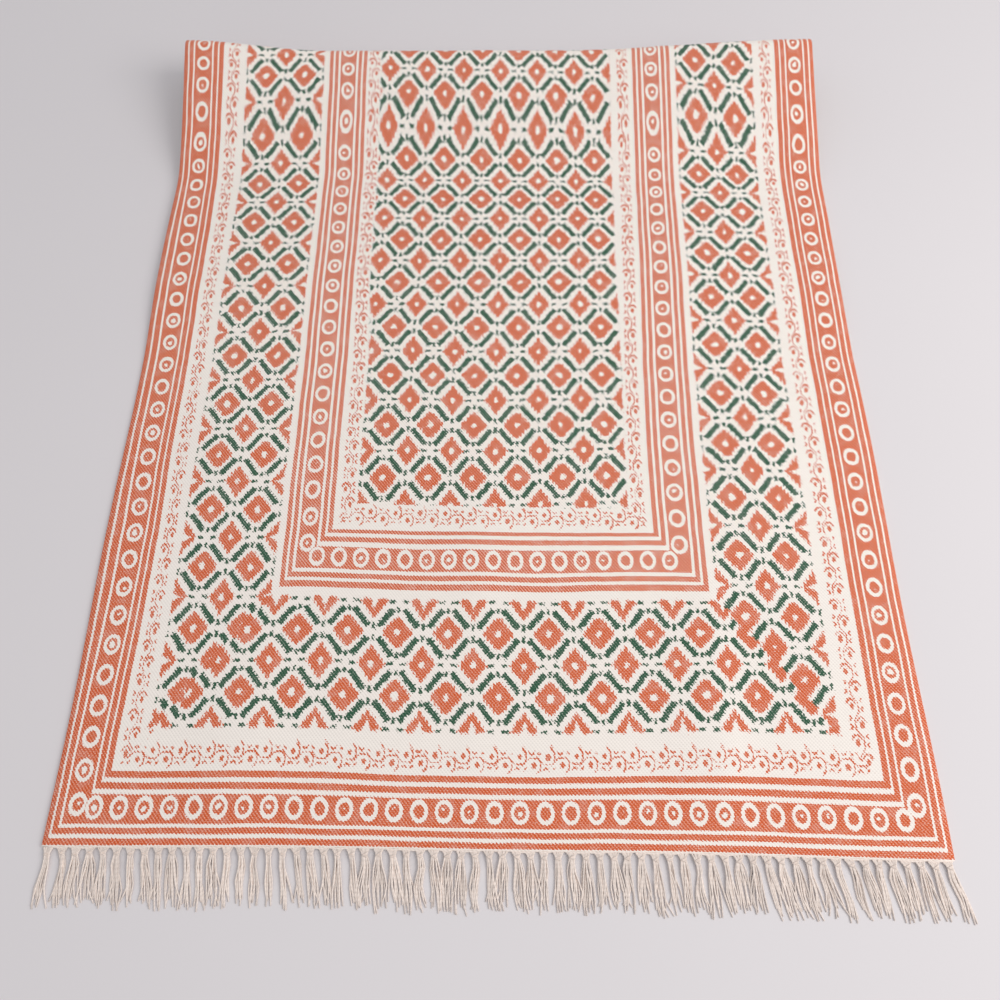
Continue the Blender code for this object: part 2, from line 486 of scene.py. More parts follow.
def root(value):
    """The square root of a value."""
    return worked(value.tree, "SQRT", value)


def rounded(value):
    """The whole number nearest to a value."""
    return worked(value.tree, "ROUND", value)


def times_plus(value, factor, extra):
    """value times factor plus extra, in one node."""
    return worked(value.tree, "MULTIPLY_ADD", value, factor, extra)


def wave(turns):
    """A smooth wave between 0 and 1, one for each whole turn."""
    return times_plus(sine(turns * (2 * math.pi)), 0.5, 0.5)


def pick(mask, without, within):
    """One value where the mask is 0, the other where it is 1."""
    return times_plus(mask, within - without, without)


def to_nearest(value, pitch):
    """Distance to the nearest of a row of places that lie a pitch apart, one of them at 0."""
    return worked(value.tree, "PINGPONG", value, pitch * 0.5)


def eased(value, low, high):
    """0 where the value is at or below low, 1 at or above high, with a soft step between."""
    tree = value.tree
    node = tree.nodes.new("ShaderNodeMapRange")
    node.interpolation_type = "SMOOTHSTEP"
    feed(tree, value, node.inputs["Value"])
    feed(tree, low, node.inputs["From Min"])
    feed(tree, high, node.inputs["From Max"])
    return Measure(tree, node.outputs["Result"])


def between(value, start, full, fade, end):
    """1 from full to fade, 0 before the start and after the end, with soft steps."""
    return eased(value, start, full) - eased(value, fade, end)


def in_row(value, pitch):
    """A value in steps of a pitch, the number of the nearest step, and how far past that it is."""
    steps = value / pitch
    count = rounded(steps)
    return steps, count, (steps - count) * pitch


def ellipse(dx, half_x, dy, half_y):
    """Distance from an ellipse's middle, 1 at its outline."""
    x = dx / half_x
    y = dy / half_y
    return root(times_plus(x, x, y * y))


def blend(tree, share, first, second):
    """Mix two colours, each a linear colour or a node's output. The share is the second one's."""
    node = tree.nodes.new("ShaderNodeMix")
    node.data_type = "RGBA"
    feed(tree, share, node.inputs[0])
    for colour, socket in ((first, node.inputs[6]), (second, node.inputs[7])):
        if isinstance(colour, bpy.types.NodeSocket):
            tree.links.new(colour, socket)
        else:
            socket.default_value = (*colour, 1.0)
    return node.outputs[2]


def noise_node(tree, across, along, size, detail, offset=0.0):
    """A noise node with patches of about the given size."""
    place = tree.nodes.new("ShaderNodeCombineXYZ")
    feed(tree, across, place.inputs[0])
    feed(tree, along, place.inputs[1])
    place.inputs[2].default_value = offset
    node = tree.nodes.new("ShaderNodeTexNoise")
    node.inputs["Scale"].default_value = 1.0 / size
    node.inputs["Detail"].default_value = detail
    tree.links.new(place.outputs[0], node.inputs["Vector"])
    return node


def noise(tree, *settings):
    """The value of a noise node that has these settings."""
    return Measure(tree, noise_node(tree, *settings).outputs[0])


def dimmed(colour, share):
    """The colour at a share of its strength."""
    return tuple(channel * share for channel in colour)


def new_group(name, inputs, outputs):
    """A shader node group with its inputs as measures."""
    group = bpy.data.node_groups.new(name, "ShaderNodeTree")
    for label, default in inputs:
        socket = group.interface.new_socket(label, in_out="INPUT", socket_type="NodeSocketFloat")
        socket.default_value = default
    for label in outputs:
        group.interface.new_socket(label, in_out="OUTPUT", socket_type="NodeSocketFloat")
    start = group.nodes.new("NodeGroupInput")
    end = group.nodes.new("NodeGroupOutput")
    return group, [Measure(group, start.outputs[label]) for label, _ in inputs], end


def use_group(tree, group, **values):
    """Place a group in a material and give back its outputs by name."""
    node = tree.nodes.new("ShaderNodeGroup")
    node.node_tree = group
    for label, value in values.items():
        feed(tree, value, node.inputs[label.replace("_", " ")])
    return {socket.name: Measure(tree, socket) for socket in node.outputs}


# The print, in millimetres. Depths are measured inwards from the cloth's nearest side.
OUTER_BAND = 27.6
INNER_BAND = 231.0
OUTER_VINE = 70.2
INNER_VINE = 272.5
LATTICE_MIDDLE = 142.0
LATTICE_HALF = 54.0
MITRE_OVERLAP = 4.0
GREEN_MITRE_GAP = 2.0
HEADER_DEPTH = 1.5
FIELD_EDGE = 284.6
BETWEEN_LATTICE_AND_BAND = 120.0
BETWEEN_BAND_AND_FIELD = 262.0
FADED_HALF = 31.0  # half width of the stretch that is worn paler, round the inner ring band
DRIFT_SIZE = 62.0
DRIFT = 1.3

# The ring bands: half width, then the two thin bare lines on each side of a band's middle as their
# distance from it and half width. Each pair is the outer band's value and the inner one's.
BAND_HALF = (28.0, 26.5)
BARE_LINES = (
    ((13.2, 12.7), (1.2, 1.7)),
    ((21.0, 20.3), (1.1, 1.45)),
)
RING_HALF_ACROSS = 9.3
RING_HALF_ALONG = 11.8
RING_PITCH = 33.2
SIDE_RINGS = (27.8, INNER_BAND)
END_RINGS = (36.9, 308.5)

# Where the rings begin along the right and the left side, and their pitches across the ends
OUTER_RING_START = (51.2, 39.9)
INNER_RING_START = (328.6, 325.0)
OUTER_END_PITCH = (25.6, 25.22)
INNER_END_PITCH = 25.05

# The two rows of flowers, and how far the stem between them swings
FLOWER_ROW_GAP = 4.6
STEM_SWING = 5.4
STEM_LIMIT = 3.4

# The finish of the weave and of the yarn
RIB_SLANT = 1.19
WEAVE_RELIEF = 0.00026
TWIST_RELIEF = 0.00008
TWIST_LENGTH = 0.0042
# Shares of the terracotta's strength in the weave's valleys: painted shade between the ribs
VALLEY_SHADE_TERRACOTTA = (0.80, 0.60, 0.52)

# The borders are wider at the ends: a distance from the end, and the depth of the same line at a side
END_BANDS = (
    (0.0, 0.0), (7.5, 5.5), (12.1, 7.8), (17.5, 13.2), (21.5, 15.6), (49.5, 39.6), (54.9, 42.0),
    (60.9, 47.6), (66.1, 49.6), (72.5, 55.6), (78.5, 62.0), (100.0, 79.0), (116.5, 87.6),
    (259.5, 194.6), (272.5, 204.6), (278.5, 208.6), (283.5, 212.0), (289.5, 216.6), (294.5, 220.0),
    (320.5, 242.0), (327.5, 245.4), (332.5, 249.6), (337.5, 252.0), (342.5, 257.6), (354.5, 268.0),
    (372.5, 282.6), (384.0, 294.0),
)

# How far the print runs ahead of the flat cloth, along it: at the rug's sides, and how much further
# it does so between them. The cloth is drawn out where it climbs the hump.
PRINT_STRETCH = (
    (0.0, 0.0), (300.0, 1.0), (450.0, 2.3), (600.0, 3.8), (700.0, 5.0), (830.0, 5.0), (868.0, 8.0),
    (902.0, 11.5), (928.0, 11.5), (965.0, -0.5), (1012.0, -11.0), (1500.0, -11.0),
)
MIDDLE_STRETCH = (
    (0.0, 0.0), (880.0, -1.0), (935.0, -4.0), (965.0, -8.0), (1010.0, -14.0), (1050.0, -16.5),
    (1090.0, -14.5), (1500.0, -11.0),
)
HUMP_FACE = (860.0, 950.0, 1030.0, 1090.0)
FACE_SKEW = 0.009

# Places where the hand print strays along the cloth: the middle and half width across, the distances
# along between which it begins, is full, fades and ends, and how far it strays
Stray = namedtuple("Stray", "x half_width start full fade end amount")
PRINT_STRAYS = (
    Stray(-25.0, 200.0, -30.0, 110.0, 250.0, 420.0, 3.2),
    Stray(-150.0, 140.0, 330.0, 430.0, 600.0, 720.0, -3.2),
    Stray(340.0, 180.0, 40.0, 110.0, 165.0, 270.0, -3.6),
)


def bent(value, knots):
    """A line through the knots, read at a value from 0 to the last knot's place."""
    node = value.tree.nodes.new("ShaderNodeFloatCurve")
    points = node.mapping.curves[0].points
    reach = knots[-1][0]
    lowest = min(height for _, height in knots)
    span = max(height for _, height in knots) - lowest
    for place, height in knots[1:-1]:
        points.new(place / reach, (height - lowest) / span)
    points[0].location = (0.0, (knots[0][1] - lowest) / span)
    points[len(points) - 1].location = (1.0, (knots[-1][1] - lowest) / span)
    for point in points:
        point.handle_type = "VECTOR"
    node.mapping.update()
    feed(value.tree, least(value, reach) / reach, node.inputs["Value"])
    return times_plus(Measure(value.tree, node.outputs[0]), span, lowest)


def print_ahead(across, along):
    """How far the print runs ahead of the flat cloth at a point."""
    between_sides = 1.0 - eased(abs(across), 215.0, 430.0)
    ahead = bent(along, PRINT_STRETCH) + bent(along, MIDDLE_STRETCH) * between_sides
    for stray in PRINT_STRAYS:
        beside = 1.0 - eased(abs(across - stray.x), stray.half_width * 0.3, stray.half_width)
        run = between(along, stray.start, stray.full, stray.fade, stray.end)
        ahead = ahead + beside * run * stray.amount
    return ahead + across * between(along, *HUMP_FACE) * FACE_SKEW


def leaning_border(from_side, along, left):
    """How far the bands stray inwards from their even distance to the side edge."""
    stray = pick(left, times_plus(eased(along, 400.0, 930.0), -10.0, 10.0), 1.6)
    further_in = least(most((from_side - 170.0) / 60.0, 0.0), 1.8)
    inner_share = eased(from_side, 50.0, 115.0) * 0.62 + further_in * 0.38
    outer_share = eased(from_side, 0.0, 24.0) - eased(from_side, 45.0, 95.0) * 0.90
    widened = eased(along, 90.0, 290.0) - eased(along, 330.0, 480.0) * 0.45
    widened = (widened - eased(along, 760.0, 860.0) * 0.55) * left * 5.4
    return inner_share * stray + outer_share * widened


def stripes(depth, inner):
    """The plain stripes and the ring bands, below 0 in the ink. Depth is measured in from the edge."""
    away = abs(depth - pick(inner, OUTER_BAND, INNER_BAND))
    bare = [pick(inner, *half) - abs(away - pick(inner, *place)) for place, half in BARE_LINES]
    return most(away - pick(inner, *BAND_HALF), *bare)


def ring_rows(across, along, from_side, from_end, inner, left, patch):
    """The white rings in both ring bands, below 0 where a ring keeps the ink off."""
    start = pick(inner, pick(left, *OUTER_RING_START), pick(left, *INNER_RING_START))
    _, count, past = in_row(along - start, RING_PITCH)
    middle = pick(inner, *SIDE_RINGS)
    beside = ellipse(from_side - middle, RING_HALF_ACROSS, past, RING_HALF_ALONG)
    beside = beside + most(count < -0.5, from_end < 24.0) * 9.0
    pitch = pick(inner, pick(left, *OUTER_END_PITCH), INNER_END_PITCH)
    _, count, past = in_row(across + pick(inner, 1.3, 4.2), pitch)
    middle = pick(inner, *END_RINGS)
    facing = ellipse(past, RING_HALF_ACROSS, from_end - middle, RING_HALF_ALONG)
    facing = facing + (abs(count) > pick(inner, 16.5, 8.5)) * 9.0
    beside = beside + (facing < 1.04) * 9.0
    nearest = least(beside, facing)
    inside_edge = times_plus(patch, 0.12, 0.52)
    annulus = most(nearest - 1.0, inside_edge - nearest)
    dot = nearest - times_plus(patch, 0.6, -0.22)
    return least(annulus, dot) * 9.5


def vine(across, along, depth, at_end, inner, far_left, patch):
    """Two rows of small flowers with a thin stem that winds between them, below 0 in the ink."""
    run = pick(at_end, along, across)
    half_pitch = pick(at_end, 18.9, pick(inner, 14.6, 14.45))
    phase = pick(at_end, 127.2, pick(inner, 9.8, 12.0))
    steps, count, in_run = in_row(run - phase, half_pitch)
    far_row = worked(steps.tree, "PINGPONG", count, 1.0)
    middle = pick(inner, OUTER_VINE, times_plus(far_left, -4.0, INNER_VINE))
    cross = (depth - middle) * 1.35
    row_side = times_plus(far_row, 2.0, -1.0)
    from_row = cross - row_side * FLOWER_ROW_GAP
    petal = ellipse(from_row, pick(at_end, 2.7, 3.3), in_run, pick(at_end, 3.6, 2.4))
    dot = (petal - times_plus(patch, 0.5, 0.72)) * 2.8
    arc = most(abs(petal - pick(at_end, 2.2, 2.9)) * 2.6 - 0.75, 3.2 - in_run)
    swing = sine(times_plus(steps, math.pi, math.pi / 2)) * STEM_SWING
    stem = abs(cross - least(most(swing, -STEM_LIMIT), STEM_LIMIT)) - 0.5
    from_leaf = abs(abs(in_run - 2.2) - 4.6)
    leaf = most(abs(times_plus(cross, -row_side, from_leaf * -0.75) - 7.2) - 0.95, from_leaf - 2.3)
    thin = least(arc, stem, leaf) + times_plus(patch, 1.0, -0.5)
    return least(dot, thin)


# One cell of the trellis, and the steps in which its diamonds' sides follow the ribs of the weave
CELL = (53.3, 71.3)
RIB_STEP = 3.4

# Half sizes across and along: the diamond at a cell's corners, where its tips are cut off, the one
# in its middle, and their light hearts
MAIN_DIAMOND = (16.4, 19.4)
MAIN_TIPS = (15.4, 17.6)
OTHER_DIAMOND = (13.8, 19.4)
MAIN_HEART = (4.1, 4.9)
OTHER_HEART = (3.2, 4.5)

# The toothed bars between the diamonds
BAR_HALF_LENGTH = 12.9
BAR_HALF_WIDTH = 3.7
TOOTH_PITCH = 3.7


def side_and_field_trellis(across, along, from_side, in_field, left, edge, patch):
    """The trellis along both sides, and the one that fills the middle field."""
    skew = times_plus(along, -0.0000784, 0.0702)
    beside_x = (from_side - 115.2) / 53.8
    beside_y = (along - pick(left, 172.5, 152.7)) / pick(left, 72.53, 71.84)
    field_x = (across + 135.0 - eased(along, 520.0, 800.0) * 5.2) / 53.0
    field_y = (along - across * skew - 411.9) / 71.9
    x, y = pick(in_field, beside_x, field_x), pick(in_field, beside_y, field_y)
    return trellis(x, y, edge - in_field * 60.0, True, patch)


def end_trellis(across, from_end, edge, patch):
    """The trellis across both ends."""
    return trellis((across - 2.0) / 55.0, (from_end - 153.5) / 70.0, edge, False, patch)


def diamond(u, v, half):
    """Below 0 inside a diamond with these half sizes, whose sides climb in steps."""
    stepped = worked(u.tree, "SNAP", u + 1.2, RIB_STEP)
    return stepped / half[0] + v / half[1] - 1.0


def trellis(x, y, edge, upright, patch):
    """Diamonds in one ink and the bars and dashes round them in the other, each below 0 in its ink."""
    half_x, half_y = CELL[0] / 2, CELL[1] / 2
    u = to_nearest(x, 1.0) * CELL[0]
    v = to_nearest(y, 1.0) * CELL[1]
    u_other, v_other = half_x - u, half_y - v
    main = most(diamond(u, v, MAIN_DIAMOND) * 12.2, u - MAIN_TIPS[0], v - MAIN_TIPS[1])
    other = diamond(u_other, v_other, OTHER_DIAMOND) * 11.0
    heart = times_plus(patch, 0.5, 0.62)
    main = most(main, (heart - ellipse(u, MAIN_HEART[0], v, MAIN_HEART[1])) * 4.4)
    other = most(other, (heart - ellipse(u_other, OTHER_HEART[0], v_other, OTHER_HEART[1])) * 3.6)
    beside_notch = v_other if upright else u_other
    notch = 1.0 - beside_notch / 4.8 + edge / 9.5
    other = most(other, notch * 3.8)
    slant = math.hypot(half_x, half_y)
    along_x, along_y = -half_x / slant, half_y / slant
    from_x, from_y = u - half_x / 2, v - half_y / 2 + 1.2
    run = times_plus(from_x, along_x, from_y * along_y)
    teeth = to_nearest(run, TOOTH_PITCH) * 0.7
    width = abs(times_plus(from_x, along_y, from_y * -along_x)) + teeth - BAR_HALF_WIDTH
    bar = most(abs(run) - BAR_HALF_LENGTH, width)
    upright_dash = most(u_other - 1.5, abs(v - 6.6) - 3.2)
    flat_dash = most(abs(u - 7.2) - 2.8, v_other - 1.5)
    lower_dash = most(u - 1.4, abs(v_other - 9.6) - 2.8)
    return least(main, other), least(bar, flat_dash, upright_dash, lower_dash)


def weave_group():
    """The height of a flat weave with slanting ribs, 0 to 1."""
    inputs = (("Across", 0.0), ("Along", 0.0), ("Rib Pitch", 3.7), ("Pick Pitch", 1.9))
    group, (across, along, rib, row), end = new_group("flat weave", inputs, ("Height",))
    ribs = wave(across / rib + along / (rib * RIB_SLANT))
    picks = wave(along / row)
    stagger = wave(across / rib - along / (row * 2.0))
    height = ribs * 0.62 + picks * 0.2 + stagger * 0.18
    group.links.new(height.socket, end.inputs["Height"])
    return group


def print_group(cloth):
    """The block print over the whole cloth: how much of each ink lies on a point."""
    inputs = (("Across", 0.0), ("Along", 0.0), ("Weave", 0.5))
    outputs = ("Terracotta", "Green", "Patch")
    group, (across, along, weave), end = new_group("block print", inputs, outputs)
    parts = group.nodes.new("ShaderNodeSeparateColor")
    drift = noise_node(group, across, along, DRIFT_SIZE, 3.0)
    group.links.new(drift.outputs["Color"], parts.inputs[0])
    drift_x, drift_y = (
        times_plus(Measure(group, channel), 2 * DRIFT, -DRIFT) for channel in parts.outputs[:2]
    )
    tone = noise(group, across, along, 11.0, 2.0, 7.0)
    patch = eased(tone, 0.3, 0.7)
    fine = noise(group, across, along * 1.6, 1.5, 1.0, 3.0)
    knobs = times_plus(noise(group, across, along, 3.6, 1.0, 5.0), 5.2, -2.6)
    printed_x = across + drift_x
    printed_y = along + drift_y + print_ahead(across, along)
    from_end = least(printed_y, cloth.length / MM - printed_y)
    left = printed_x < 0.0
    from_side = cloth.width / MM / 2 - abs(printed_x)
    from_side = from_side - leaning_border(from_side, along, left)
    end_depth = bent(from_end, END_BANDS)
    at_end = end_depth < from_side
    depth = least(end_depth, from_side)
    inner = depth > BETWEEN_LATTICE_AND_BAND
    in_field = depth > BETWEEN_BAND_AND_FIELD
    past_mitre = from_side - end_depth
    far = eased(along, 560.0, 760.0)
    field_edge = times_plus(far * times_plus(left, -2.0, 1.0), 6.0, FIELD_EDGE)
    beside_edge = pick(in_field, abs(from_side - LATTICE_MIDDLE) - LATTICE_HALF, field_edge - depth)
    facing_edge = abs(end_depth - LATTICE_MIDDLE) - LATTICE_HALF
    beside_mitre = past_mitre - in_field * 500.0
    diamonds, bars = side_and_field_trellis(
        printed_x, printed_y, from_side, in_field, left, beside_edge, patch
    )
    green = most(bars, beside_edge, beside_mitre + GREEN_MITRE_GAP)
    terracotta = most(diamonds, beside_edge, beside_mitre - MITRE_OVERLAP)
    diamonds, bars = end_trellis(printed_x, from_end, facing_edge, patch)
    green = least(green, most(bars, facing_edge, GREEN_MITRE_GAP - past_mitre))
    terracotta = least(terracotta, most(diamonds, facing_edge, -MITRE_OVERLAP - past_mitre))
    green = green + knobs
    plain = stripes(depth, inner) * 2.2
    header = HEADER_DEPTH - along
    rings = ring_rows(printed_x, printed_y, from_side, from_end, inner, left, patch)
    bands = most(plain, rings * -1.6, header * 2.0)
    flowers = vine(printed_x, printed_y, depth, at_end, inner, far * left, patch)
    terracotta = least(terracotta + knobs, bands, flowers)
    ragged = times_plus(weave, 2.0, -1.0) + times_plus(fine, 3.6, -1.9)
    rubbed = eased(weave, 0.5, 0.95) * 0.30 + eased(fine, 0.48, 0.72) * 0.36
    cover = 1.05 - rubbed - eased(tone, 0.42, 0.75) * 0.13
    inner_ring_band = abs(depth - INNER_BAND) < FADED_HALF
    cover = cover - inner_ring_band * eased(weave, 0.25, 0.75) * 0.15
    for name, shape, gain in (("Terracotta", terracotta, 1.0), ("Green", green, 1.2)):
        ink = 1.0 - eased(shape + ragged, -0.35, 0.35)
        amount = least(ink * cover * gain, 1.0)
        group.links.new(amount.socket, end.inputs[name])
    group.links.new(tone.socket, end.inputs["Patch"])
    return group


def new_material(name, roughness, specular=0.2, sheen=0.12):
    """A matt finish, with its shader."""
    material = bpy.data.materials.new(name)
    material.use_nodes = True
    shader = material.node_tree.nodes["Principled BSDF"]
    shader.inputs["Roughness"].default_value = roughness
    shader.inputs["Specular IOR Level"].default_value = specular
    shader.inputs["Sheen Weight"].default_value = sheen
    shader.inputs["Sheen Roughness"].default_value = 0.6
    return material, material.node_tree, shader


def split(tree, vector):
    """A vector's three numbers."""
    parts = tree.nodes.new("ShaderNodeSeparateXYZ")
    tree.links.new(vector, parts.inputs[0])
    return [Measure(tree, socket) for socket in parts.outputs]


def point_values(tree, name):
    """The three numbers that a piece's points carry under that name."""
    read = tree.nodes.new("ShaderNodeAttribute")
    read.attribute_type = "GEOMETRY"
    read.attribute_name = name
    return split(tree, read.outputs["Vector"])


def add_finish(tree, shader, colour, rough, height, relief):
    """A shader's colour, roughness and relief, the relief from a height that goes from 0 to 1."""
    bump = tree.nodes.new("ShaderNodeBump")
    bump.inputs["Strength"].default_value = 1.0
    bump.inputs["Distance"].default_value = relief
    tree.links.new(height.socket, bump.inputs["Height"])
    tree.links.new(bump.outputs["Normal"], shader.inputs["Normal"])
    tree.links.new(colour, shader.inputs["Base Color"])
    tree.links.new(rough.socket, shader.inputs["Roughness"])


def printed_cotton(cloth):
    """The cloth's finish: cream weave, the print on its face and a faint trace of it on the back."""
    material, tree, shader = new_material("printed_cotton", 0.9)
    across_m, along_m, side = point_values(tree, "cloth")
    across = across_m / MM
    along = along_m / MM
    weave = use_group(
        tree, weave_group(), Across=across, Along=along,
        Rib_Pitch=cloth.rib_pitch / MM, Pick_Pitch=cloth.pick_pitch / MM,
    )
    height = weave["Height"]
    ink = use_group(tree, print_group(cloth), Across=across, Along=along, Weave=height)
    face = times_plus(eased(side, -0.4, 0.6), 0.90, 0.10)
    cotton, warm, green = tuple(cloth.cotton), tuple(cloth.terracotta), tuple(cloth.green)
    # Painted shade: the unprinted cotton is a little darker in the weave's valleys, between the ribs
    bare = blend(tree, eased(height, 0.05, 0.5), dimmed(cotton, 0.88), cotton)
    slub = eased(noise(tree, across * 0.18, along, 2.6, 2.0, 11.0), 0.35, 0.75) * 0.12
    bare = blend(tree, slub, bare, dimmed(cotton, 0.8))
    # Painted shade: both inks are darker in the weave's valleys than on the raised ribs
    valley_shaded_terracotta = tuple(channel * share for channel, share in zip(warm, VALLEY_SHADE_TERRACOTTA))
    raised = eased(height, 0.1, 0.7)
    warm_ink = blend(tree, raised, valley_shaded_terracotta, warm)
    green_ink = blend(tree, raised, dimmed(green, 0.75), green)
    colour = blend(tree, ink["Terracotta"] * face, bare, warm_ink)
    colour = blend(tree, ink["Green"] * face, colour, green_ink)
    rough = times_plus(ink["Patch"], 0.10, 0.85)
    add_finish(tree, shader, colour, rough, height, WEAVE_RELIEF)
    return material


def fringe_cotton(fringe):
    """The finish of plied yarn: the twist runs round each yarn, and yarns differ a little in tone."""
    material, tree, shader = new_material("fringe_cotton", 0.9)
    cosine, sine_part, along = point_values(tree, "yarn")
    tone = point_values(tree, "tone")[0]
    around = worked(tree, "ARCTAN2", sine_part, cosine)
    twist = sine(times_plus(along, 2 * math.pi / TWIST_LENGTH, around * 2.0))
    height = times_plus(twist, 0.5, 0.5)
    light = tuple(fringe.cotton)
    # Painted shade: each yarn is a little darker in the grooves of its twist
    bare = blend(tree, eased(height, 0.0, 0.7), dimmed(light, 0.90), light)
    fuzz = noise(tree, cosine * 2.0, along * 900.0, 1.0, 2.0)
    share = times_plus(fuzz, 0.35, times_plus(tone, 0.5, -0.24))
    colour = blend(tree, share, bare, dimmed(light, 0.58))
    add_finish(tree, shader, colour, times_plus(height, -0.08, 0.95), height, TWIST_RELIEF)
    return material


# The fringe's yarns

YARN_SIDES = 6
YARN_CUTS = 9
CORD_CUTS = 180
CORD_SHARE = 0.72
CORD_BOW = 0.0009
KNOT_REACH = 0.0062
KNOT_HALF_WIDTH = 0.0028
KNOT_HALF_DEPTH = 0.0011
KNOT_TILTS = (24.0, -20.0)
LEG_SPREAD = 0.0053
FAN_HALF_WIDTH = 0.0052
NECK_HALF_WIDTH = 0.0023
TIP_SHARE = 0.65
STRAY_YARNS = 0.16
LOOK_SEED = 29


def taken(piece):
    """A template's points and faces. Its object is deleted."""
    spots = np.array([vertex.co[:] for vertex in piece.data.vertices])
    faces = [tuple(face.vertices) for face in piece.data.polygons]
    bpy.data.objects.remove(piece, do_unlink=True)
    return spots, faces


def yarn_template(cuts):
    """A straight yarn one unit long and one in radius, its rings of points ready to follow a route."""
    deselect_all()
    bpy.ops.mesh.primitive_cylinder_add(
        vertices=YARN_SIDES, radius=1.0, depth=1.0, end_fill_type="NGON", location=(0.0, 0.0, 0.5)
    )
    yarn = bpy.context.object
    bpy.ops.object.transform_apply(location=True, rotation=False, scale=False)
    bpy.ops.object.mode_set(mode="EDIT")
    bpy.ops.mesh.select_mode(type="EDGE")
    bpy.ops.mesh.select_all(action="DESELECT")
    bpy.ops.object.mode_set(mode="OBJECT")
    for edge in yarn.data.edges:
        low, high = (yarn.data.vertices[index].co.z for index in edge.vertices)
        edge.select = abs(low - high) > 0.5
    bpy.ops.object.mode_set(mode="EDIT")
    bpy.ops.mesh.subdivide(number_cuts=cuts)
    bpy.ops.mesh.select_mode(type="VERT")
    bpy.ops.object.mode_set(mode="OBJECT")
    spots, faces = taken(yarn)
    rings = np.rint(spots[:, 2] * (cuts + 1)).astype(int)
    return spots[:, :2], rings, faces


def knot_template():
    """One turn of yarn round a tassel, a unit across."""
    deselect_all()
    bpy.ops.mesh.primitive_torus_add(
        major_segments=12, minor_segments=6, major_radius=1.0, minor_radius=0.42,
        rotation=(math.radians(90.0), 0.0, 0.0),
    )
    bpy.ops.object.transform_apply(location=False, rotation=True, scale=False)
    return taken(bpy.context.object)


class Bundle:
    """Copies of the templates, gathered into one mesh."""

    def __init__(self):
        self.places = []
        self.yarn_values = []
        self.tones = []
        self.faces = []
        self.count = 0

    def add(self, places, values, tone, faces):
        """One more copy, with what its material reads at each point."""
        self.places.append(places)
        self.yarn_values.append(values)
        self.tones.append(np.full((len(places), 3), tone))
        self.faces += [tuple(self.count + index for index in face) for face in faces]
        self.count += len(places)

    def finish(self, name, material):
        """The gathered mesh as one piece."""
        piece = new_piece(name, np.concatenate(self.places).tolist(), self.faces, material)
        add_point_values(piece, "yarn", np.concatenate(self.yarn_values))
        add_point_values(piece, "tone", np.concatenate(self.tones))
        return piece


def lay_yarn(bundle, template, route, radii, tone):
    """Copy the yarn template along a route with a point, and a radius, for each of its rings."""
    section, rings, faces = template
    run = np.gradient(route, axis=0)
    run /= np.linalg.norm(run, axis=1)[:, None]
    side = np.cross(run, (0.0, 0.0, 1.0))
    side /= np.linalg.norm(side, axis=1)[:, None]
    up = np.cross(side, run)
    steps = np.linalg.norm(np.diff(route, axis=0), axis=1)
    along = np.concatenate(((0.0,), np.cumsum(steps)))
    reach = radii[rings][:, None]
    places = route[rings] + reach * (section[:, :1] * side[rings] + section[:, 1:] * up[rings])
    values = np.column_stack((section, along[rings]))
    bundle.add(places, values, tone, faces)


def smooth_route(knots, count):
    """Points along a smooth line through a few knots, evenly spread from first to last."""
    knots = np.asarray(knots, float)
    padded = np.vstack((2 * knots[0] - knots[1], knots, 2 * knots[-1] - knots[-2]))
    spans = len(knots) - 1
    points = []
    for place in np.linspace(0.0, spans, count):
        span = min(int(place), spans - 1)
        t = place - span
        a, b, c, d = padded[span : span + 4]
        points.append(
            0.5 * (2 * b + (c - a) * t + (2 * a - 5 * b + 4 * c - d) * t**2
                   + (3 * b - a - 3 * c + d) * t**3)
        )
    return np.array(points)


def open_lean(outward):
    """Sideways lean of an open tassel: to the right, but for the ones at the left corner."""
    if outward < 0:
        return 0.04 + 0.08 * smooth_step(-outward / 0.4) - 0.28 * outward**40
    return 0.04 + 0.08 * smooth_step((outward - 0.2) / 0.4) + 0.08 * outward**9


def hidden_lean(outward):
    """Sideways lean of a tassel under the fold, which keeps inside the rug's sides."""
    return -0.08 * outward**9


# A fringe's form: its tassels' lean, the heights of their knots and of the yarns in them, and how
# far the loose yarns splay
FringeForm = namedtuple("FringeForm", "lean knot_height top splay_share")
OPEN_FORM = FringeForm(open_lean, 0.0025, 0.0026, 1.0)
HIDDEN_FORM = FringeForm(hidden_lean, 0.0022, 0.0020, 0.7)


